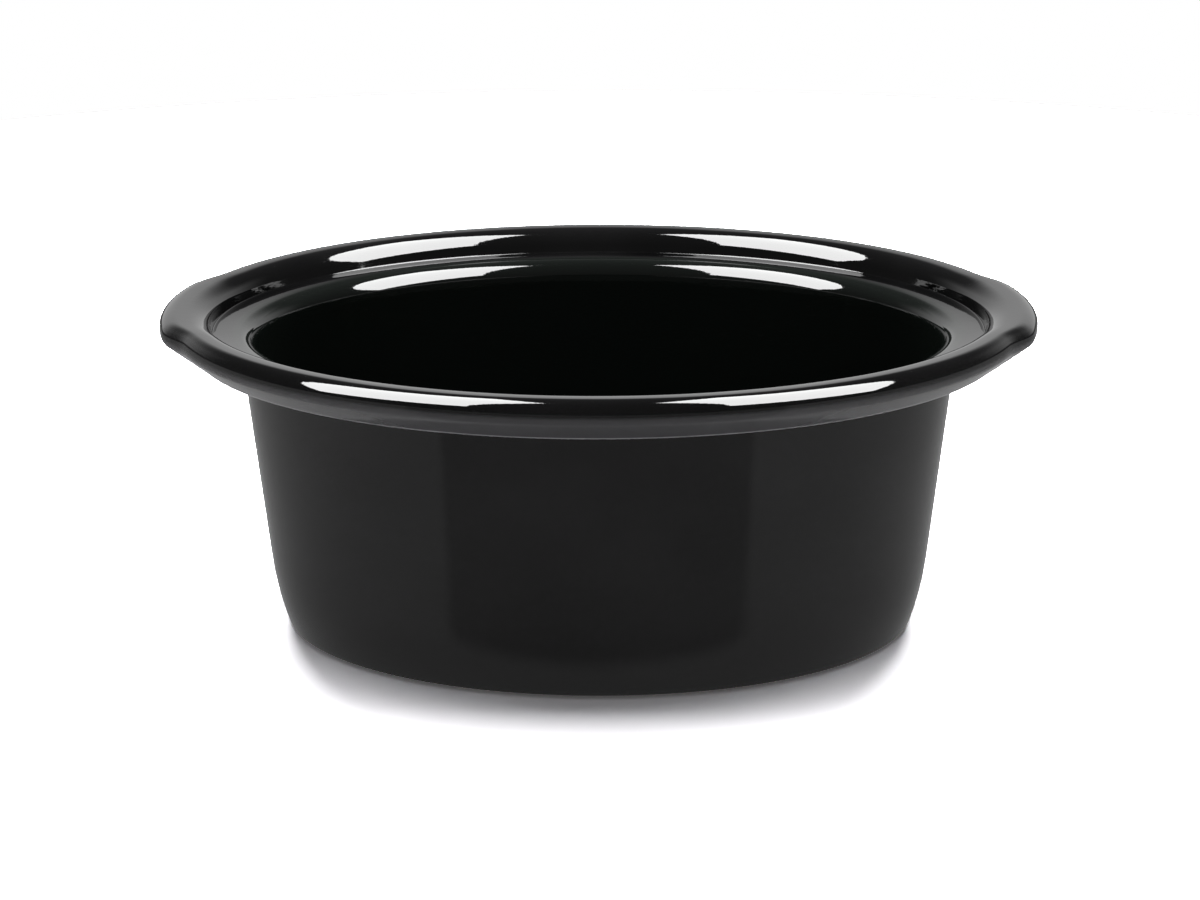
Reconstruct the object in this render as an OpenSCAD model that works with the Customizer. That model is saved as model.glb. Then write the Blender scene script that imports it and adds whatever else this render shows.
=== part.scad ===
// Removable crock of an oval slow cooker: one fired stoneware body with a rolled
// rim, a lid ledge and two lug handles, under a glossy glaze inside and out.
// X runs along the handles, Z is up and the foot stands on Z = 0.

/* [Oval plan] */
// Half length of the wall's top edge, along the handles
wall_half_x = 134; // [120:1:150]
// Half depth of the wall's top edge
wall_half_y = 94.5; // [85:0.5:110]

/* [Wall and floor] */
// Height where the wall runs into the underside of the rim
wall_top = 110.5; // [95:0.5:125]
// Lean of the wall, in degrees from upright
wall_taper = 5.5; // [3:0.1:8]
// Height of the curve in which the wall is drawn in, above its bottom edge
corner_rise = 31; // [20:0.5:50]
// How far that curve draws the bottom edge in
corner_run = 3; // [2:0.2:8]
// Radius of the wall's bottom edge
base_edge_radius = 1.2; // [0.8:0.1:3]
// Thickness of the wall, glaze included
wall_thickness = 5.4; // [5:0.1:9]
// Thickness of the floor above its underside, glaze included
floor_thickness = 7; // [5:0.5:10]
// Radius of the curve from the floor to the wall, inside
floor_radius = 26; // [15:1:35]

/* [Foot] */
// Height of the bare foot ring
foot_height = 1.5; // [1:0.5:4]
// Width of the foot ring
foot_width = 8; // [5:0.5:12]
// Distance from the wall's bottom edge in to the foot ring
foot_inset = 5; // [3:0.5:10]

/* [Rim] */
// Overhang of the rim beyond the top edge of the wall
rim_overhang = 25; // [20:0.1:28]
// Overhang of the rim's lower edge
rim_edge_overhang = 16.2; // [12:0.2:18]
// Drop of the rim's lower edge below the top of the wall
rim_edge_drop = 0.6; // [0:0.2:3]
// Height of the foot of the rim's upright face above the top of the wall
rim_face_rise = 7.8; // [5:0.2:10]
// Height above the top of the wall at which the rim's top and outer faces would meet
rim_shoulder_rise = 15.8; // [14:0.2:22]
// Overhang of the crest, where the rim's top turns down towards the ledge
crest_overhang = 11.6; // [11.2:0.2:14]
// Height of the crest above the top of the wall, before it is rounded
crest_rise = 14.8; // [10:0.2:16]
// Inward lean of the rim's upright face, over its height
face_lean = 0.2; // [0:0.1:1]
// Radius between the wall and the rim's underside
underside_radius = 3; // [1:0.5:5]
// Radius of the rim's lower edge
edge_radius = 3; // [1:0.5:5]
// Radius at the foot of the rim's upright face
face_radius = 4; // [1:0.5:6]
// Radius of the rim's roll over its outer shoulder
roll_radius = 4.6; // [3:0.2:5]
// Radius of the crest
crest_radius = 7; // [4:0.5:8]

/* [Lid ledge] */
// Overhang of the ledge's outer edge, at the foot of the step up to the crest
ledge_overhang = 10.2; // [8:0.2:10.6]
// Height of the ledge above the top of the outside wall
ledge_rise = 6.4; // [4:0.2:8]
// Radius of the curve from the ledge to the inside wall
ledge_radius = 6; // [3:0.5:8]
// Radius at the foot of the step from the ledge up to the crest
step_radius = 0.5; // [0.4:0.1:2]

/* [Handles] */
// Reach of each handle beyond the rim's overhang
lug_reach = 4.5; // [2:0.5:10]
// Half width of the handle's full reach
lug_half_width = 27; // [14:1:32]
// Half width at which the handle has died away into the rim
lug_end_half_width = 42; // [32:1:50]

/* [Glaze] */
// Thickness of the glaze
glaze_thickness = 0.5; // [0.4:0.05:0.8]

/* [Hidden] */

around = 72;
end_crowding = 0.3;
chord_error = 0.12;
corner_steps = 5;
lap = 1;

inner_top_u = -wall_thickness;
floor_z = foot_height + floor_thickness;
ledge_z = wall_top + ledge_rise;
ledge_middle = [(ledge_overhang + inner_top_u) / 2, ledge_z];

// Overhang of the outer wall's line at a height, below zero inside the top edge.
function wall_u(z) = -(wall_top - z) * tan(wall_taper);

// Wall at a height above its bottom edge: its line, drawn in by the curve below.
function wall_point(rise) =
    let (below = max(0, 1 - rise / corner_rise))
    [wall_u(foot_height + rise) - corner_run * pow(below, 2.5), foot_height + rise];

foot_u = wall_point(0)[0] - foot_inset;
floor_edge_u = wall_u(floor_z) - wall_thickness;

function unit(v) = v / norm(v);

// Half of the angle at corner i of a list of corners, each a place and its radius.
function half_angle(c, i) =
    acos(unit(c[i - 1][0] - c[i][0]) * unit(c[i + 1][0] - c[i][0])) / 2;

// Length of side that a corner's arc takes up.
function arc_reach(c, i) =
    i == 0 || i == len(c) - 1 || c[i][1] == 0 ? 0 : c[i][1] / tan(half_angle(c, i));

// Share of their length that the two arcs on the side from corner i can have.
function arc_room(c, i) =
    let (wanted = arc_reach(c, i) + arc_reach(c, i + 1))
    wanted > 0 ? min(1, 0.98 * norm(c[i + 1][0] - c[i][0]) / wanted) : 1;

// Arc in corner i, made smaller where its sides have no room for it.
function arc(c, i) =
    let (
        a = unit(c[i - 1][0] - c[i][0]),
        b = unit(c[i + 1][0] - c[i][0]),
        half = half_angle(c, i),
        reach = arc_reach(c, i) * min(arc_room(c, i - 1), arc_room(c, i)),
        r = reach * tan(half),
        centre = c[i][0] + unit(a + b) * r / sin(half),
        from = c[i][0] + a * reach - centre,
        to = c[i][0] + b * reach - centre,
        turn = 180 - 2 * half,
        side = sign(from[0] * to[1] - from[1] * to[0]),
        steps = max(2, ceil(turn / (2 * acos(1 - chord_error / r))))
    )
    [for (k = [0 : steps])
        let (t = side * turn * k / steps)
        centre + [from[0] * cos(t) - from[1] * sin(t), from[0] * sin(t) + from[1] * cos(t)]];

// Path through a list of corners, from the first place to the last.
function rounded_path(c) =
    [for (i = [0 : len(c) - 1]) each arc_reach(c, i) > 0 ? arc(c, i) : [c[i][0]]];

// Finished outside, from the foot ring to the middle of the ledge.
outer_path = rounded_path(concat(
    [[[foot_u, foot_height], 0], [wall_point(0), base_edge_radius]],
    [for (k = [1 : corner_steps]) [wall_point(corner_rise * k / corner_steps), 0]],
    [
        [[0, wall_top], underside_radius],
        [[rim_edge_overhang, wall_top - rim_edge_drop], edge_radius],
        [[rim_overhang, wall_top + rim_face_rise], face_radius],
        [[rim_overhang - face_lean, wall_top + rim_shoulder_rise], roll_radius],
        [[crest_overhang, wall_top + crest_rise], crest_radius],
        [[ledge_overhang, ledge_z], step_radius],
        [ledge_middle, 0]
    ]
));

// Finished inside, from the middle of the ledge to the edge of the flat floor.
inner_path = rounded_path([
    [ledge_middle, 0],
    [[inner_top_u, ledge_z], ledge_radius],
    [[floor_edge_u, floor_z], floor_radius],
    [[floor_edge_u - 1.5 * floor_radius, floor_z], 0]
]);

// Normal of a path at one of its points, to the right of its run.
function path_normal(path, i) =
    let (
        last = len(path) - 1,
        run = unit(path[min(i + 1, last)] - path[max(i - 1, 0)])
    )
    [run[1], -run[0]];

// Path moved by a distance against its normals. Its ends keep their own heading.
function inset(path, d) = [for (i = [0 : len(path) - 1]) path[i] - path_normal(path, i) * d];

// Clay under the glaze. The end points stay on the lines that the pieces share.
clay_outer = let (p = inset(outer_path, glaze_thickness))
    [for (i = [0 : len(p) - 1])
        i == 0 ? [foot_u, foot_height + glaze_thickness]
        : i == len(p) - 1 ? [ledge_middle[0], ledge_z - glaze_thickness]
        : p[i]];
clay_inner = let (p = inset(inner_path, glaze_thickness))
    [for (i = [0 : len(p) - 1])
        i == 0 ? [ledge_middle[0], ledge_z - glaze_thickness]
        : i == len(p) - 1 ? [p[i][0], floor_z - glaze_thickness]
        : p[i]];

function smooth_step(t) = let (c = min(max(t, 0), 1)) c * c * (3 - 2 * c);

// Part of the handle's reach at a distance y from its middle.
function lug_share(y) =
    smooth_step((lug_end_half_width - abs(y)) / (lug_end_half_width - lug_half_width));

// Length added along X: beyond the crest, the section is stretched into the handle.
function lug_stretch(u, y) =
    let (beyond = max(u - crest_overhang, 0) / (rim_overhang - crest_overhang))
    lug_reach * lug_share(y) * beyond;

// One ring of points, at the overhang u from the wall's top edge.
function oval(u) =
    [for (i = [0 : around - 1])
        let (
            turn = 360 * i / around,
            t = turn - 90 / PI * end_crowding * sin(2 * turn),
            y = (wall_half_y + u) * sin(t)
        )
        [(wall_half_x + u) * cos(t) + sign(cos(t)) * lug_stretch(u, y), y]];

function ring(station) = [for (p = oval(station[0])) [p[0], p[1], station[1]]];

// Side faces between ring a and ring b of a stack of rings.
function band(a, b) =
    [for (i = [0 : around - 1])
        let (j = (i + 1) % around)
        each [
            [a * around + i, b * around + i, b * around + j],
            [a * around + i, b * around + j, a * around + j]
        ]];

// Flat round face between one ring and a centre point.
function fan(ring_index, centre, flip) =
    [for (i = [0 : around - 1])
        let (j = (i + 1) % around)
        flip
            ? [centre, ring_index * around + j, ring_index * around + i]
            : [centre, ring_index * around + i, ring_index * around + j]];

// Closed solid swept round the oval from a path that starts and ends on the
// flat middle of the crock.
module bowl(path) {
    last = len(path) - 1;
    first_centre = len(path) * around;
    polyhedron(
        points = concat(
            [for (station = path) each ring(station)],
            [[0, 0, path[0][1]], [0, 0, path[last][1]]]
        ),
        faces = concat(
            [for (k = [0 : last - 1]) each band(k, k + 1)],
            fan(0, first_centre, false),
            fan(last, first_centre + 1, true)
        )
    );
}

// Closed band swept round the oval from a closed path.
module hoop(path) {
    count = len(path);
    polyhedron(
        points = [for (station = path) each ring(station)],
        faces = [for (k = [0 : count - 1]) each band(k, (k + 1) % count)]
    );
}

function reversed(list) = [for (i = [len(list) - 1 : -1 : 0]) list[i]];
function without_first(list) = [for (i = [1 : len(list) - 1]) list[i]];

// Fired clay: floor, wall, rim and handles in one piece, on its foot ring.
module stoneware_body() {
    color("tan") union() {
        bowl(concat(clay_outer, without_first(clay_inner)));
        linear_extrude(height = foot_height + glaze_thickness + lap)
            difference() {
                polygon(oval(foot_u));
                polygon(oval(foot_u - foot_width));
            }
    }
}

// Glaze over the ledge's inner half, the inside wall and the floor.
module inner_glaze() {
    color("black") bowl(concat(reversed(clay_inner), inner_path));
}

// Glaze from the foot ring over the outside wall, the rim and its handles to the ledge.
module outer_glaze() {
    color("black") hoop(concat(outer_path, reversed(clay_outer)));
}

// Glaze on the underside, inside the foot ring.
module base_glaze() {
    color("black")
        translate([0, 0, foot_height])
            linear_extrude(height = glaze_thickness)
                polygon(oval(foot_u - foot_width));
}

stoneware_body();
inner_glaze();
outer_glaze();
base_glaze();
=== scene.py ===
import math
import bpy
from mathutils import Matrix, Vector


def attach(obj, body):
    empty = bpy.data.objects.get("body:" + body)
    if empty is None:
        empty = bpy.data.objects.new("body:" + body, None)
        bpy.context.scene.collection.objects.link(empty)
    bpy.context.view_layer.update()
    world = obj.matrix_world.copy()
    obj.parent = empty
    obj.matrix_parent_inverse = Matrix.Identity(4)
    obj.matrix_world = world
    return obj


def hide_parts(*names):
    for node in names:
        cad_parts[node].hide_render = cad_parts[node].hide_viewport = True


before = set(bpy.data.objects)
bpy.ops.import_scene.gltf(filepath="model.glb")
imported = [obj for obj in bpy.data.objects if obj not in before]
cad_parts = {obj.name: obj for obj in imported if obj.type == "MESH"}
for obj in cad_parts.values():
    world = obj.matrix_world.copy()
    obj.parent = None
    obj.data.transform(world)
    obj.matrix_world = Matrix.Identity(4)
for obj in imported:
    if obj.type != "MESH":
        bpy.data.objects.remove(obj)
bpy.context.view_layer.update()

# the shape of the crock, in metres; an overhang is measured outward from the wall's top edge
crock = {
    "halfLength": 0.134,
    "halfDepth": 0.0945,
    "wallTop": 0.1105,
    "wallLean": math.radians(5.5),
    "cornerRise": 0.031,
    "cornerRun": 0.003,
    "cornerPower": 2.5,
    "cornerSteps": 12,
    "baseEdgeRadius": 0.0012,
    "wallThickness": 0.0054,
    "floorThickness": 0.007,
    "floorRadius": 0.026,
    "footHeight": 0.0015,
    "footWidth": 0.008,
    "footInset": 0.005,
    "footEdge": 0.0004,
    "poolLip": 0.0008,
    "rimOverhang": 0.025,
    "edgeOverhang": 0.0162,
    "edgeHeight": 0.1099,
    "faceHeight": 0.1183,
    "faceLean": 0.0002,
    "shoulderHeight": 0.1263,
    "crestOverhang": 0.0116,
    "crestHeight": 0.1253,
    "ledgeOverhang": 0.0102,
    "ledgeHeight": 0.1169,
    "undersideRadius": 0.003,
    "edgeRadius": 0.003,
    "faceRadius": 0.004,
    "rollRadius": 0.0046,
    "crestRadius": 0.007,
    "stepRadius": 0.0005,
    "ledgeRadius": 0.006,
    "handleReach": 0.0045,
    "handleHalfWidth": 0.027,
    "handleEndHalfWidth": 0.042,
    "glaze": 0.0005,
    "around": 256,
    "arcSteps": 8,
    "rowStep": 0.004,
}

floorHeight = crock["footHeight"] + crock["floorThickness"]


def wallOverhang(z):
    return -(crock["wallTop"] - z) * math.tan(crock["wallLean"])


def wallPoint(share):
    # the wall's line, drawn in by a curve low down; share runs from 0 at the bottom edge
    # to 1 where the wall is straight again
    z = crock["footHeight"] + crock["cornerRise"] * share
    drawnIn = crock["cornerRun"] * (1 - share) ** crock["cornerPower"]
    return Vector((wallOverhang(z) - drawnIn, z))


def roundedCorner(before, corner, after, radius):
    # points of the arc that rounds a corner between two straight runs
    a = (before - corner).normalized()
    b = (after - corner).normalized()
    half = math.acos(max(-1, min(1, a.dot(b)))) / 2
    centre = corner + (a + b).normalized() * radius / math.sin(half)
    start = corner + a * radius / math.tan(half) - centre
    end = corner + b * radius / math.tan(half) - centre
    side = 1 if start.x * end.y > start.y * end.x else -1
    points = []
    for i in range(crock["arcSteps"] + 1):
        turn = side * (math.pi - 2 * half) * i / crock["arcSteps"]
        points.append(centre + Matrix.Rotation(turn, 2) @ start)
    return points


def roundedRows(corners):
    rows = []
    for i, (place, radius) in enumerate(corners):
        if radius:
            rows += roundedCorner(corners[i - 1][0], place, corners[i + 1][0], radius)
        else:
            rows.append(place)
    return rows


def closerRows(rows):
    # straight stretches get rows of their own, so that shading stays even along them
    out = [rows[0]]
    for row in rows[1:]:
        gap = (row - out[-1]).length
        count = max(1, math.ceil(gap / crock["rowStep"]))
        start = out[-1]
        out += [start.lerp(row, i / count) for i in range(1, count + 1)]
    return [row for i, row in enumerate(out) if i == 0 or (row - out[i - 1]).length > 1e-6]


footOverhang = wallPoint(0).x - crock["footInset"]
shoulderOverhang = crock["rimOverhang"] - crock["faceLean"]
ledgeMiddle = Vector((
    (crock["ledgeOverhang"] - crock["wallThickness"]) / 2,
    crock["ledgeHeight"],
))
floorEdge = Vector((wallOverhang(floorHeight) - crock["wallThickness"], floorHeight))
steps = crock["cornerSteps"]

outsideRows = closerRows(roundedRows(
    [
        (Vector((footOverhang, crock["footHeight"])), 0),
        (wallPoint(0), crock["baseEdgeRadius"]),
    ]
    + [(wallPoint(i / steps), 0) for i in range(1, steps + 1)]
    + [
        (Vector((0, crock["wallTop"])), crock["undersideRadius"]),
        (Vector((crock["edgeOverhang"], crock["edgeHeight"])), crock["edgeRadius"]),
        (Vector((crock["rimOverhang"], crock["faceHeight"])), crock["faceRadius"]),
        (Vector((shoulderOverhang, crock["shoulderHeight"])), crock["rollRadius"]),
        (Vector((crock["crestOverhang"], crock["crestHeight"])), crock["crestRadius"]),
        (Vector((crock["ledgeOverhang"], crock["ledgeHeight"])), crock["stepRadius"]),
        (ledgeMiddle, 0),
    ]
))
insideRows = closerRows(roundedRows([
    (ledgeMiddle, 0),
    (Vector((-crock["wallThickness"], crock["ledgeHeight"])), crock["ledgeRadius"]),
    (floorEdge, crock["floorRadius"]),
    (floorEdge - Vector((1.5 * crock["floorRadius"], 0)), 0),
]))


def insetRows(rows, depth):
    # the same rows, moved into the clay by the glaze's thickness
    out = []
    for i, row in enumerate(rows):
        run = (rows[min(i + 1, len(rows) - 1)] - rows[max(i - 1, 0)]).normalized()
        out.append(row - Vector((run.y, -run.x)) * depth)
    return out


def deselectAll():
    if bpy.context.object and bpy.context.object.mode != "OBJECT":
        bpy.ops.object.mode_set(mode="OBJECT")
    bpy.ops.object.select_all(action="DESELECT")


def ringSize(row):
    # the half length and half depth of the oval ring at a row
    return crock["halfLength"] + row.x, crock["halfDepth"] + row.x


def sweepRows(name, rows):
    # an oval ring is extruded from row to row, growing and shrinking with the overhang
    deselectAll()
    bpy.ops.mesh.primitive_circle_add(vertices=crock["around"], radius=1)
    piece = bpy.context.object
    piece.name = name
    bpy.ops.object.mode_set(mode="EDIT")
    bpy.ops.mesh.select_all(action="SELECT")
    sizeX, sizeY = ringSize(rows[0])
    bpy.ops.transform.resize(value=(sizeX, sizeY, 1), center_override=(0, 0, 0))
    bpy.ops.transform.translate(value=(0, 0, rows[0].y))
    for last, row in zip(rows, rows[1:]):
        bpy.ops.mesh.extrude_region_move(TRANSFORM_OT_translate={"value": (0, 0, row.y - last.y)})
        sizeX, sizeY = ringSize(row)
        lastX, lastY = ringSize(last)
        bpy.ops.transform.resize(value=(sizeX / lastX, sizeY / lastY, 1), center_override=(0, 0, 0))
    return piece


def closeFlat(shares=(0.8, 0.6, 0.4, 0.2, 0.08)):
    # the selected ring is drawn in over a flat face to its middle
    last = 1
    for share in shares:
        bpy.ops.mesh.extrude_region_move(TRANSFORM_OT_translate={"value": (0, 0, 0)})
        bpy.ops.transform.resize(value=(share / last, share / last, 1), center_override=(0, 0, 0))
        last = share
    bpy.ops.mesh.extrude_region_move(TRANSFORM_OT_translate={"value": (0, 0, 0)})
    bpy.ops.mesh.merge(type="CENTER")


def selectRing(z, halfLength):
    # the ring at height z whose end is nearest to halfLength
    bpy.ops.mesh.select_all(action="DESELECT")
    bpy.ops.object.mode_set(mode="OBJECT")
    mesh = bpy.context.object.data
    halfDepth = halfLength - crock["halfLength"] + crock["halfDepth"]
    for vert in mesh.vertices:
        x, y, height = vert.co
        onRing = abs(math.hypot(x / halfLength, y / halfDepth) - 1) < 1e-4
        vert.select = onRing and abs(height - z) < 1e-5
    for edge in mesh.edges:
        edge.select = all(mesh.vertices[i].select for i in edge.vertices)
    bpy.ops.object.mode_set(mode="EDIT")


def faceOutward():
    bpy.ops.mesh.select_all(action="SELECT")
    bpy.ops.mesh.remove_doubles(threshold=1e-6)
    bpy.ops.mesh.normals_make_consistent(inside=False)


def overhangAt(x, y):
    # which oval ring the point is on, found by halving
    low, high = -crock["halfDepth"] * 0.9, crock["rimOverhang"] * 2
    halvings = 40
    for _ in range(halvings):
        middle = (low + high) / 2
        sizeX = crock["halfLength"] + middle
        sizeY = crock["halfDepth"] + middle
        if math.hypot(x / sizeX, y / sizeY) > 1:
            low = middle
        else:
            high = middle
    return low


def handleShare(y):
    # 1 across the handle's middle, falling smoothly to 0 where the plain rim begins
    wide, end = crock["handleHalfWidth"], crock["handleEndHalfWidth"]
    t = max(0, min(1, (end - abs(y)) / (end - wide)))
    return t * t * (3 - 2 * t)


def pullHandles(piece):
    # the rim beyond the crest is pulled outward at both ends, by weight
    crest, reach = crock["crestOverhang"], crock["rimOverhang"] - crock["crestOverhang"]
    lowest = crock["edgeHeight"] - crock["edgeRadius"]
    for side, sign in (("right", 1), ("left", -1)):
        group = piece.vertex_groups.new(name=side)
        for vert in piece.data.vertices:
            x, y, z = vert.co
            if x * sign <= 0 or z < lowest or abs(y) > crock["handleEndHalfWidth"]:
                continue
            weight = handleShare(y) * (overhangAt(x, y) - crest) / reach
            if weight > 0:
                group.add([vert.index], weight, "REPLACE")
        pull = piece.modifiers.new(side, "DISPLACE")
        pull.direction = "X"
        pull.mid_level = 0
        pull.strength = sign * crock["handleReach"]
        pull.vertex_group = side
        bpy.context.view_layer.objects.active = piece
        bpy.ops.object.modifier_apply(modifier=pull.name)
    piece.vertex_groups.clear()


def thicken(piece, thickness):
    wall = piece.modifiers.new("glaze", "SOLIDIFY")
    wall.thickness = thickness
    wall.offset = -1
    wall.use_even_offset = True
    bpy.context.view_layer.objects.active = piece
    bpy.ops.object.modifier_apply(modifier=wall.name)


def smoothShade(piece, angle=35):
    deselectAll()
    piece.select_set(True)
    bpy.context.view_layer.objects.active = piece
    bpy.ops.object.shade_smooth_by_angle(angle=math.radians(angle))


def facesPointOut(piece):
    # a face on the right side, about half way up the wall, tells for all
    halfway = crock["wallTop"] * 0.6
    for face in piece.data.polygons:
        centre = face.center
        if abs(centre.z - halfway) < crock["rowStep"] and centre.x > abs(centre.y):
            return face.normal.x > 0
    return True


def flipFaces(piece):
    deselectAll()
    bpy.context.view_layer.objects.active = piece
    bpy.ops.object.mode_set(mode="EDIT")
    bpy.ops.mesh.select_all(action="SELECT")
    bpy.ops.mesh.flip_normals()
    bpy.ops.object.mode_set(mode="OBJECT")


def makeOuterGlaze():
    piece = sweepRows("outerGlaze", outsideRows)
    bpy.ops.object.mode_set(mode="OBJECT")
    if not facesPointOut(piece):
        flipFaces(piece)
    pullHandles(piece)
    thicken(piece, crock["glaze"])
    smoothShade(piece)
    return piece


def makeInnerGlaze():
    piece = sweepRows("innerGlaze", insideRows)
    closeFlat()
    bpy.ops.object.mode_set(mode="OBJECT")
    if facesPointOut(piece):
        flipFaces(piece)
    thicken(piece, crock["glaze"])
    smoothShade(piece)
    return piece


def makeClayBody():
    clayRows = insetRows(outsideRows, crock["glaze"])
    clayRows += insetRows(insideRows, crock["glaze"])[1:]
    edge = crock["footEdge"]
    outer = footOverhang
    inner = footOverhang - crock["footWidth"]
    footRows = [
        Vector((inner, crock["footHeight"] + crock["glaze"])),
        Vector((inner, edge)),
        Vector((inner + edge, 0)),
        Vector((outer - edge, 0)),
        Vector((outer, edge)),
    ]
    piece = sweepRows("clayBody", footRows + clayRows)
    closeFlat()
    selectRing(footRows[0].y, crock["halfLength"] + footRows[0].x)
    closeFlat()
    faceOutward()
    bpy.ops.object.mode_set(mode="OBJECT")
    pullHandles(piece)
    smoothShade(piece)
    return piece


def makeBaseGlaze():
    # a shallow pool with a rounded lip, inside the foot ring
    low = crock["footHeight"]
    lip = crock["poolLip"]
    top = low + crock["glaze"]
    edge = footOverhang - crock["footWidth"]
    rows = [
        Vector((edge, top)),
        Vector((edge, low + lip * 0.3)),
        Vector((edge - lip * 0.4, low + lip * 0.05)),
        Vector((edge - lip, low)),
    ]
    piece = sweepRows("baseGlaze", rows)
    closeFlat()
    selectRing(rows[0].y, crock["halfLength"] + rows[0].x)
    closeFlat()
    faceOutward()
    bpy.ops.object.mode_set(mode="OBJECT")
    smoothShade(piece)
    return piece


# materials

glazeLook = {
    "outsideColour": (0.0045, 0.0045, 0.0048, 1),
    "paleColour": (0.010, 0.010, 0.0103, 1),  # in patches
    "insideColour": (0.008, 0.0105, 0.009, 1),
    # painted reflection: a paler band on the rim's face, under its roll
    "reflectionBandColour": (0.065, 0.065, 0.067, 1),
    "reflectionBandBottom": 0.1075,
    "reflectionBandBottomBlend": 0.0012,
    "reflectionBandTop": 0.121,
    "reflectionBandTopBlend": 0.0015,
    "edgeHighlightColour": (0.27, 0.27, 0.276, 1),  # painted highlight along the rim's lower edge
    "edgeHighlightTop": 0.111,
    "edgeHighlightBlend": 0.0003,
    "ringOverhang": 0.014,  # of the oval that parts the ledge from the rim's face
    "ringBlend": 0.015,
    "ledgeFall": 0.002,
    "ledgeFallStart": 0.0006,
    "roughness": 0.035,
    "ior": 1.5,
    "downStretch": 1.6,
    "waveScale": 28,
    "rippleDepth": 0.00012,
    "peelScale": 420,
    "peelDepth": 0.00001,
    "patchScale": 16,
    "patchDullness": (0.7, 1.6),  # times the roughness
}
clayLook = {
    "colour": (0.55, 0.47, 0.37, 1),
    "speck": (0.30, 0.23, 0.17, 1),
    "speckBand": (0.36, 0.46),
    "roughness": 0.85,
    "grainScale": 900,
    "grainDepth": 0.00008,
}


def newMaterial(name):
    material = bpy.data.materials.new(name)
    material.use_nodes = True
    nodes = material.node_tree.nodes
    nodes.clear()
    output = nodes.new("ShaderNodeOutputMaterial")
    shader = nodes.new("ShaderNodeBsdfPrincipled")
    material.node_tree.links.new(shader.outputs["BSDF"], output.inputs["Surface"])
    return material, nodes, material.node_tree.links, shader


def newGroup(name, inputs, outputs):
    group = bpy.data.node_groups.new(name, "ShaderNodeTree")
    for label, kind, value in inputs:
        socket = group.interface.new_socket(name=label, in_out="INPUT", socket_type=kind)
        if value is not None:
            socket.default_value = value
    for label, kind in outputs:
        group.interface.new_socket(name=label, in_out="OUTPUT", socket_type=kind)
    start = group.nodes.new("NodeGroupInput")
    end = group.nodes.new("NodeGroupOutput")
    return group, start, end


def mathNode(nodes, links, operation, first, second):
    node = nodes.new("ShaderNodeMath")
    node.operation = operation
    for socket, value in zip(node.inputs, (first, second)):
        if isinstance(value, (int, float)):
            socket.default_value = value
        else:
            links.new(value, socket)
    return node.outputs[0]


def noiseNode(nodes, links, vector, scale, detail, roughness=0.5):
    node = nodes.new("ShaderNodeTexNoise")
    node.inputs["Scale"].default_value = scale
    node.inputs["Detail"].default_value = detail
    node.inputs["Roughness"].default_value = roughness
    links.new(vector, node.inputs["Vector"])
    return node.outputs["Fac"]


def rampNode(nodes, links, value, start, end):
    # 0 at start, 1 at end, smoothly
    node = nodes.new("ShaderNodeMapRange")
    node.interpolation_type = "SMOOTHSTEP"
    node.inputs["From Min"].default_value = start
    node.inputs["From Max"].default_value = end
    links.new(value, node.inputs["Value"])
    return node.outputs["Result"]


def mapNode(nodes, links, value, fromSpan, toSpan):
    node = nodes.new("ShaderNodeMapRange")
    node.inputs["From Min"].default_value, node.inputs["From Max"].default_value = fromSpan
    node.inputs["To Min"].default_value, node.inputs["To Max"].default_value = toSpan
    links.new(value, node.inputs["Value"])
    return node.outputs["Result"]


def colourMix(nodes, links, factor, first, second):
    node = nodes.new("ShaderNodeMix")
    node.data_type = "RGBA"
    links.new(factor, node.inputs["Factor"])
    for socket, value in ((node.inputs["A"], first), (node.inputs["B"], second)):
        if isinstance(value, tuple):
            socket.default_value = value
        else:
            links.new(value, socket)
    return node.outputs["Result"]


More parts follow.
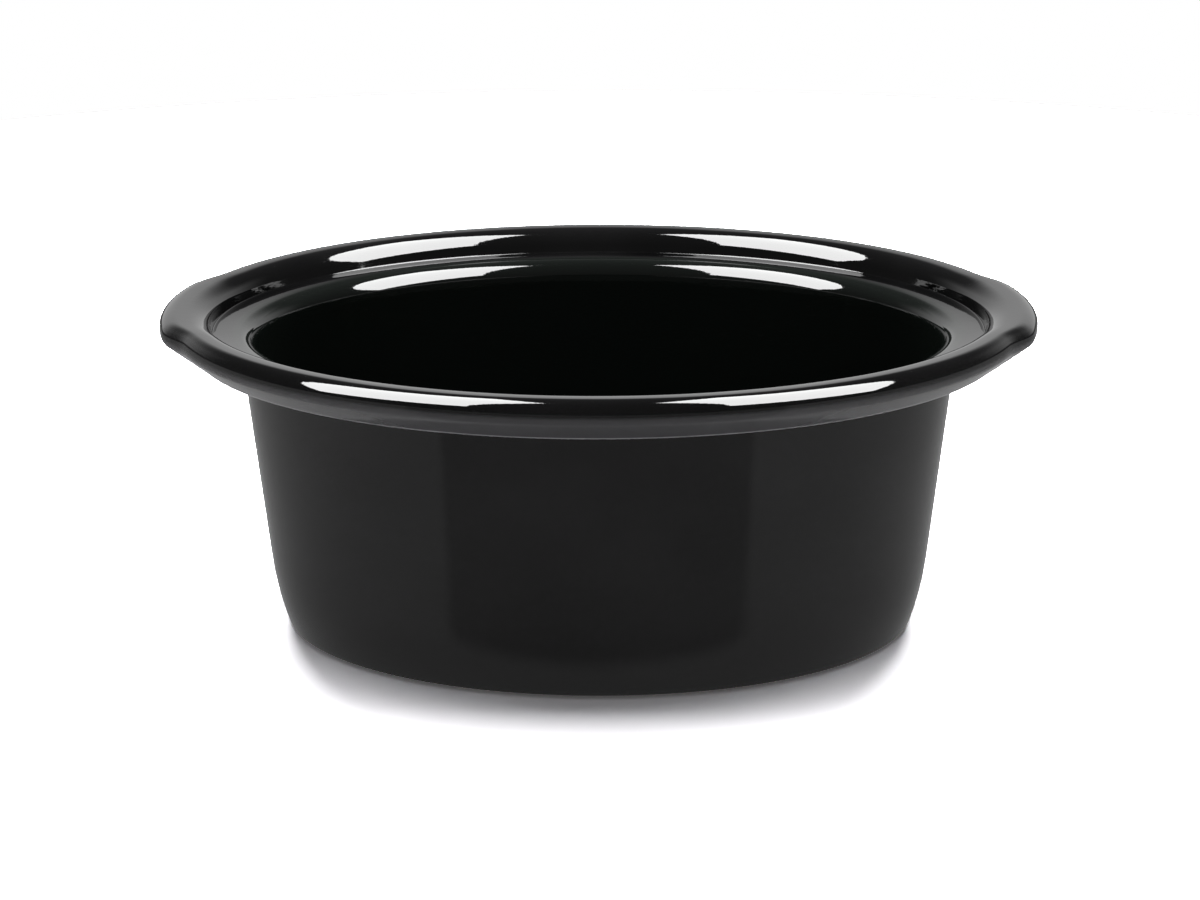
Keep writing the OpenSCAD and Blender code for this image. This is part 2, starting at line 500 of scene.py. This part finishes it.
def makeGlazeGroup():
    # slow waves from dipping, a fine peel, faint patches, and the masks of a painted reflection
    # band under the rim's roll and a painted highlight along the rim's lower edge
    look = glazeLook
    group, start, end = newGroup(
        "glazeSurface",
        [("Place", "NodeSocketVector", None), ("Peel", "NodeSocketFloat", 0.1)],
        [(label, "NodeSocketFloat") for label in ("Height", "Dull", "ReflectionBand", "Edge")],
    )
    nodes, links = group.nodes, group.links
    stretch = nodes.new("ShaderNodeMapping")
    stretch.inputs["Scale"].default_value = (1, 1, look["downStretch"])
    links.new(start.outputs["Place"], stretch.inputs["Vector"])
    place = stretch.outputs["Vector"]
    waves = noiseNode(nodes, links, place, look["waveScale"], 1)
    peel = noiseNode(nodes, links, place, look["peelScale"], 2)
    peel = mathNode(nodes, links, "MULTIPLY", peel, start.outputs["Peel"])
    ripples = mathNode(nodes, links, "ADD", waves, peel)
    links.new(noiseNode(nodes, links, place, look["patchScale"], 3), end.inputs["Dull"])

    # around is 1 on the oval ring that parts the ledge from the rim's face
    axes = nodes.new("ShaderNodeSeparateXYZ")
    links.new(start.outputs["Place"], axes.inputs["Vector"])
    height = axes.outputs["Z"]
    ringLength = crock["halfLength"] + look["ringOverhang"]
    ringDepth = crock["halfDepth"] + look["ringOverhang"]
    acrossRim = mathNode(nodes, links, "DIVIDE", axes.outputs["X"], ringLength)
    alongRim = mathNode(nodes, links, "DIVIDE", axes.outputs["Y"], ringDepth)
    around = mathNode(
        nodes, links, "ADD",
        mathNode(nodes, links, "MULTIPLY", acrossRim, acrossRim),
        mathNode(nodes, links, "MULTIPLY", alongRim, alongRim),
    )

    # the ledge falls slightly inward
    ledgeSpan = [
        ((crock["halfDepth"] + overhang) / ringDepth) ** 2
        for overhang in (look["ledgeFallStart"], crock["ledgeOverhang"])
    ]
    fall = mapNode(nodes, links, around, ledgeSpan, (0, look["ledgeFall"] / look["rippleDepth"]))
    links.new(mathNode(nodes, links, "ADD", ripples, fall), end.inputs["Height"])

    # painted reflection: a paler band on the rim's face, under its roll
    reflectionBandStart = look["reflectionBandBottom"]
    bottom = rampNode(nodes, links, height, reflectionBandStart, reflectionBandStart + look["reflectionBandBottomBlend"])
    outward = rampNode(nodes, links, around, 1 - look["ringBlend"], 1 + look["ringBlend"])
    bottom = mathNode(nodes, links, "MULTIPLY", bottom, outward)
    top = rampNode(nodes, links, height, look["reflectionBandTop"], look["reflectionBandTop"] - look["reflectionBandTopBlend"])
    links.new(mathNode(nodes, links, "MULTIPLY", bottom, top), end.inputs["ReflectionBand"])
    # painted highlight: a light line along the rim's lower edge
    edgeHighlightTop, blend = look["edgeHighlightTop"], look["edgeHighlightBlend"]
    edge = rampNode(nodes, links, height, edgeHighlightTop + blend, edgeHighlightTop - blend)
    links.new(mathNode(nodes, links, "MULTIPLY", bottom, edge), end.inputs["Edge"])
    return group


glazeGroup = makeGlazeGroup()


def makeGlaze(name, colour, patchesAndPaintedLight):
    material, nodes, links, shader = newMaterial(name)
    shader.inputs["IOR"].default_value = glazeLook["ior"]
    place = nodes.new("ShaderNodeTexCoord")
    surface = nodes.new("ShaderNodeGroup")
    surface.node_tree = glazeGroup
    surface.inputs["Peel"].default_value = glazeLook["peelDepth"] / glazeLook["rippleDepth"]
    links.new(place.outputs["Object"], surface.inputs["Place"])
    patches = surface.outputs["Dull"]
    if patchesAndPaintedLight:
        pale = rampNode(nodes, links, patches, 0.38, 0.72)
        mixed = colourMix(nodes, links, pale, colour, glazeLook["paleColour"])
        # painted reflection: a paler band on the rim's face, under its roll
        mixed = colourMix(
            nodes, links, surface.outputs["ReflectionBand"], mixed, glazeLook["reflectionBandColour"])
        # painted highlight along the rim's lower edge
        mixed = colourMix(
            nodes, links, surface.outputs["Edge"], mixed, glazeLook["edgeHighlightColour"])
        links.new(mixed, shader.inputs["Base Color"])
    else:
        shader.inputs["Base Color"].default_value = colour
    bump = nodes.new("ShaderNodeBump")
    bump.inputs["Distance"].default_value = glazeLook["rippleDepth"]
    links.new(surface.outputs["Height"], bump.inputs["Height"])
    links.new(bump.outputs["Normal"], shader.inputs["Normal"])
    roughness = [glazeLook["roughness"] * times for times in glazeLook["patchDullness"]]
    dull = mapNode(nodes, links, patches, (0.35, 0.75), roughness)
    links.new(dull, shader.inputs["Roughness"])
    return material


def makeClay():
    material, nodes, links, shader = newMaterial("bareStoneware")
    shader.inputs["Roughness"].default_value = clayLook["roughness"]
    place = nodes.new("ShaderNodeTexCoord").outputs["Object"]
    grain = noiseNode(nodes, links, place, clayLook["grainScale"], 4, 0.6)
    specks = nodes.new("ShaderNodeValToRGB")
    stops = zip(specks.color_ramp.elements, clayLook["speckBand"], ("speck", "colour"))
    for stop, position, colour in stops:
        stop.position = position
        stop.color = clayLook[colour]
    links.new(grain, specks.inputs["Fac"])
    links.new(specks.outputs["Color"], shader.inputs["Base Color"])
    bump = nodes.new("ShaderNodeBump")
    bump.inputs["Distance"].default_value = clayLook["grainDepth"]
    links.new(grain, bump.inputs["Height"])
    links.new(bump.outputs["Normal"], shader.inputs["Normal"])
    return material


outerGlaze = makeOuterGlaze()
innerGlaze = makeInnerGlaze()
clayBody = makeClayBody()
baseGlaze = makeBaseGlaze()
print("crock modelled")

outsideGlaze = makeGlaze("outsideGlaze", glazeLook["outsideColour"], True)
insideGlaze = makeGlaze("insideGlaze", glazeLook["insideColour"], False)
bareStoneware = makeClay()
for piece, node, slot, material in (
    (outerGlaze, "outer_glaze", "outside_glaze", outsideGlaze),
    (innerGlaze, "inner_glaze", "inside_glaze", insideGlaze),
    (clayBody, "stoneware_body", "stoneware", bareStoneware),
    (baseGlaze, "base_glaze", "outside_glaze", outsideGlaze),
):
    piece.data.materials.clear()
    piece.data.materials.append(material)
    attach(piece, "root")
    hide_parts(node)
print("glazes and clay applied")

# floor, lamps, world and camera

studio = {
    "floorRadius": 1.0,
    "floorColour": (0.90, 0.885, 0.915, 1),
    "floorExposure": 5,
    "floorInGlazeFront": 0.33,
    "floorInGlazeBack": 0.22,
    "floorInGlazeSpan": (-0.1, 0.3),  # from front to back
    "floorInGlazeShade": 0.1,
    # painted shade on the table in front of the crock, seen only in the glaze
    "shadeWedgeLevel": 0.19,
    "shadeWedgeNear": -0.1,
    "shadeWedgeHalfWidth": 0.072,
    "shadeWedgeSpread": 0.8,
    "shadeWedgeSoftness": 0.008,
    "panelPlace": (0.674, -0.388, 1.753),
    "panelSide": (-0.016, -0.803, 0.597),
    "panelFace": (0.97, 0.12, 0.19),
    "panelSize": (1.52, 2.7),
    "panelRadiance": 20,
    "overheadSize": (1.2, 1.0),
    "overheadHeight": 1.6,
    "overheadRadiance": 5.5,
    "backPlace": (0.518, 1.110, 1.03),
    "backSize": (0.5, 0.5),
    "backRadiance": 12.2,
    "skyLevel": 0.066,
    "roomLevel": 0.1,
    "backLevel": 0.8,
    "backSpan": (0.2, 0.8),  # how far behind, as a part of the direction
    "backHeight": (0.6, 0.3),
    "horizon": (-0.05, 0.02),
}


def makePaintedShadeWedge(nodes, links, acrossTable, alongTable):
    # painted shade: a darker wedge on the table in front of the crock, seen only in the glaze, that
    # widens toward the camera and has soft edges
    softness = studio["shadeWedgeSoftness"]
    beyond = mathNode(nodes, links, "SUBTRACT", studio["shadeWedgeNear"], alongTable)
    spread = mathNode(nodes, links, "MULTIPLY", beyond, studio["shadeWedgeSpread"])
    halfWidth = mathNode(nodes, links, "ADD", spread, studio["shadeWedgeHalfWidth"])
    fromMiddle = mathNode(nodes, links, "ABSOLUTE", acrossTable, 0)
    margin = mathNode(nodes, links, "SUBTRACT", halfWidth, fromMiddle)
    sides = rampNode(nodes, links, margin, -softness, softness)
    front = rampNode(nodes, links, beyond, -softness, softness)
    return mathNode(nodes, links, "MULTIPLY", sides, front)


def makeFloor():
    # white to the camera; in the glaze a softer white, with a wedge of painted shade in front of
    # the crock
    deselectAll()
    bpy.ops.mesh.primitive_circle_add(
        vertices=128, radius=studio["floorRadius"], fill_type="NGON")
    floor = bpy.context.object
    floor.name = "tableTop"
    material, nodes, links, shader = newMaterial("whiteTable")
    output = shader.outputs["BSDF"].links[0].to_node
    nodes.remove(shader)
    table = nodes.new("ShaderNodeBsdfDiffuse")
    glow = nodes.new("ShaderNodeEmission")
    both = nodes.new("ShaderNodeAddShader")
    links.new(table.outputs["BSDF"], both.inputs[0])
    links.new(glow.outputs["Emission"], both.inputs[1])
    links.new(both.outputs["Shader"], output.inputs["Surface"])
    path = nodes.new("ShaderNodeLightPath")
    place = nodes.new("ShaderNodeTexCoord")
    axes = nodes.new("ShaderNodeSeparateXYZ")
    links.new(place.outputs["Object"], axes.inputs["Vector"])

    # painted light: in the glaze the table glows, brighter in front than behind, and shows little
    # of the real light on it
    inGlaze = path.outputs["Is Glossy Ray"]
    levels = (studio["floorInGlazeFront"], studio["floorInGlazeBack"])
    level = mapNode(nodes, links, axes.outputs["Y"], studio["floorInGlazeSpan"], levels)
    shadeWedgeMix = nodes.new("ShaderNodeMix")
    links.new(
        makePaintedShadeWedge(nodes, links, axes.outputs["X"], axes.outputs["Y"]),
        shadeWedgeMix.inputs["Factor"],
    )
    links.new(level, shadeWedgeMix.inputs["A"])
    shadeWedgeMix.inputs["B"].default_value = studio["shadeWedgeLevel"]
    links.new(
        mathNode(nodes, links, "MULTIPLY", inGlaze, shadeWedgeMix.outputs["Result"]),
        glow.inputs["Strength"],
    )
    shade = studio["floorInGlazeShade"]
    seenColour = colourMix(
        nodes, links, inGlaze, studio["floorColour"], (shade, shade, shade, 1))

    # the camera sees the table overexposed, so it is white beyond the shadow
    toCamera = path.outputs["Is Camera Ray"]
    extra = mathNode(nodes, links, "MULTIPLY", toCamera, studio["floorExposure"] - 1)
    exposure = nodes.new("ShaderNodeVectorMath")
    exposure.operation = "SCALE"
    links.new(seenColour, exposure.inputs["Vector"])
    links.new(mathNode(nodes, links, "ADD", extra, 1), exposure.inputs["Scale"])
    links.new(exposure.outputs["Vector"], table.inputs["Color"])
    floor.data.materials.append(material)


def addPanel(name, place, side, face, size, radiance):
    # side is the panel's own first axis, and face the way that its back points
    data = bpy.data.lights.new(name, "AREA")
    data.shape = "RECTANGLE"
    data.size, data.size_y = size
    data.energy = radiance * data.size * data.size_y * math.pi
    lamp = bpy.data.objects.new(name, data)
    bpy.context.scene.collection.objects.link(lamp)
    back = Vector(face).normalized()
    up = back.cross(Vector(side)).normalized()
    axes = Matrix((up.cross(back), up, back)).transposed()
    lamp.matrix_world = Matrix.Translation(place) @ axes.to_4x4()
    lamp.visible_camera = False
    return lamp


def limitToGlaze(data):
    # the panel's light that the glaze would throw on the table is left out
    data.use_nodes = True
    nodes, links = data.node_tree.nodes, data.node_tree.links
    nodes.clear()
    output = nodes.new("ShaderNodeOutputLight")
    glow = nodes.new("ShaderNodeEmission")
    path = nodes.new("ShaderNodeLightPath")
    direct = mathNode(nodes, links, "LESS_THAN", path.outputs["Diffuse Depth"], 0.5)
    links.new(direct, glow.inputs["Strength"])
    links.new(glow.outputs["Emission"], output.inputs["Surface"])


def makeWorld():
    world = bpy.data.worlds.new("studioWorld")
    bpy.context.scene.world = world
    world.use_nodes = True
    nodes, links = world.node_tree.nodes, world.node_tree.links
    nodes.clear()
    output = nodes.new("ShaderNodeOutputWorld")
    path = nodes.new("ShaderNodeLightPath")
    direction = nodes.new("ShaderNodeTexCoord")
    axes = nodes.new("ShaderNodeSeparateXYZ")
    links.new(direction.outputs["Generated"], axes.inputs["Vector"])
    # in the glaze the room is white low down behind the crock and dark elsewhere
    behind = rampNode(nodes, links, axes.outputs["Y"], *studio["backSpan"])
    low = rampNode(nodes, links, axes.outputs["Z"], *studio["backHeight"])
    above = rampNode(nodes, links, axes.outputs["Z"], *studio["horizon"])
    white = mathNode(nodes, links, "MULTIPLY", behind, low)
    white = mathNode(nodes, links, "MULTIPLY", white, above)
    room = mathNode(nodes, links, "MULTIPLY", white, studio["backLevel"])
    room = mathNode(nodes, links, "ADD", room, studio["roomLevel"])
    glossy = path.outputs["Is Glossy Ray"]
    other = mathNode(nodes, links, "SUBTRACT", 1, glossy)
    level = mathNode(
        nodes, links, "ADD",
        mathNode(nodes, links, "MULTIPLY", glossy, room),
        mathNode(nodes, links, "MULTIPLY", other, studio["skyLevel"]),
    )
    toCamera, through = path.outputs["Is Camera Ray"], path.outputs["Is Transmission Ray"]
    seen = mathNode(nodes, links, "MAXIMUM", toCamera, through)
    level = mathNode(nodes, links, "MAXIMUM", level, seen)
    shader = nodes.new("ShaderNodeBackground")
    shader.inputs["Color"].default_value = (1, 1, 1, 1)
    links.new(level, shader.inputs["Strength"])
    links.new(shader.outputs["Background"], output.inputs["Surface"])


def makeCamera():
    # the view's height angle, turn and roll, its distance and what it looks at
    view = {
        "height": math.radians(19.51),
        "turn": math.radians(0.92),
        "roll": math.radians(0.23),
        "distance": 0.987,
        "target": Vector((0.00051, 0, 0.06722)),
        "lens": 77.64,
    }
    back = Vector((
        math.sin(view["turn"]) * math.cos(view["height"]),
        -math.cos(view["turn"]) * math.cos(view["height"]),
        math.sin(view["height"]),
    ))
    right = Vector((math.cos(view["turn"]), math.sin(view["turn"]), 0))
    up = back.cross(right)
    tilt = Matrix.Rotation(-view["roll"], 3, back)
    axes = Matrix((tilt @ right, tilt @ up, back)).transposed()
    data = bpy.data.cameras.new("studioCamera")
    data.sensor_width = 36
    data.sensor_fit = "HORIZONTAL"
    data.lens = view["lens"]
    data.clip_start = 0.01
    camera = bpy.data.objects.new("studioCamera", data)
    bpy.context.scene.collection.objects.link(camera)
    place = view["target"] + back * view["distance"]
    camera.matrix_world = Matrix.Translation(place) @ axes.to_4x4()
    bpy.context.scene.camera = camera


makeFloor()
for side, name in ((-1, "Left"), (1, "Right")):
    mirror = Matrix.Diagonal((side, 1, 1))
    panelPlace, edge, face = (
        mirror @ Vector(studio[key]) for key in ("panelPlace", "panelSide", "panelFace"))
    panel = addPanel(
        "panel" + name, panelPlace, edge, face, studio["panelSize"], studio["panelRadiance"])
    panel.visible_diffuse = False
    limitToGlaze(panel.data)
    # light from behind keeps the shadow to the front
    backPlace = mirror @ Vector(studio["backPlace"])
    edge = Vector((backPlace.y, -backPlace.x, 0)).normalized()
    back = addPanel(
        "back" + name, backPlace, edge, backPlace, studio["backSize"], studio["backRadiance"])
    back.visible_glossy = False
overhead = addPanel(
    "overheadLight", Vector((0, 0, studio["overheadHeight"])), (1, 0, 0), (0, 0, 1),
    studio["overheadSize"], studio["overheadRadiance"],
)
overhead.visible_glossy = False
makeWorld()
makeCamera()
bpy.context.scene.view_settings.view_transform = "Standard"
print("studio set")
